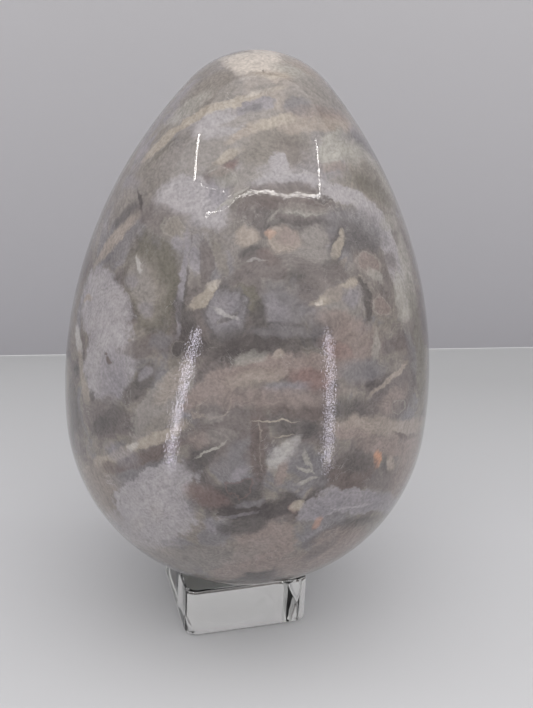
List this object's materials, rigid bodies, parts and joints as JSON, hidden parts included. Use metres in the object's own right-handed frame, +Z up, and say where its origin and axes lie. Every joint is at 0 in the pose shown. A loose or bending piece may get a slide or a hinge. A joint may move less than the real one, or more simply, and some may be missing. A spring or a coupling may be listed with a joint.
{
  "type": "agate egg on a glass display block",
  "caption": "Polished stone egg standing point up in the shallow dish of a clear square glass block.",
  "frame": {"origin": "on the surface that the block stands on, under the egg's axis", "axes": "+Z up along the egg's axis to its tip; X and Y square to the glass block's sides"},
  "size_m": [0.1, 0.1, 0.1597],
  "materials": {
    "glass": "clear moulded glass, fire-polished",
    "agate": "polished grey agate"
  },
  "bodies": {
    "block": {"glass_block": "glass"},
    "egg": {"agate_egg": "agate"}
  },
  "joints": [
    {"name": "egg_lift", "type": "slide", "parent": "block", "child": "egg", "axis": [0, 0, 1], "range_m": [0, 0.1]}
  ]
}
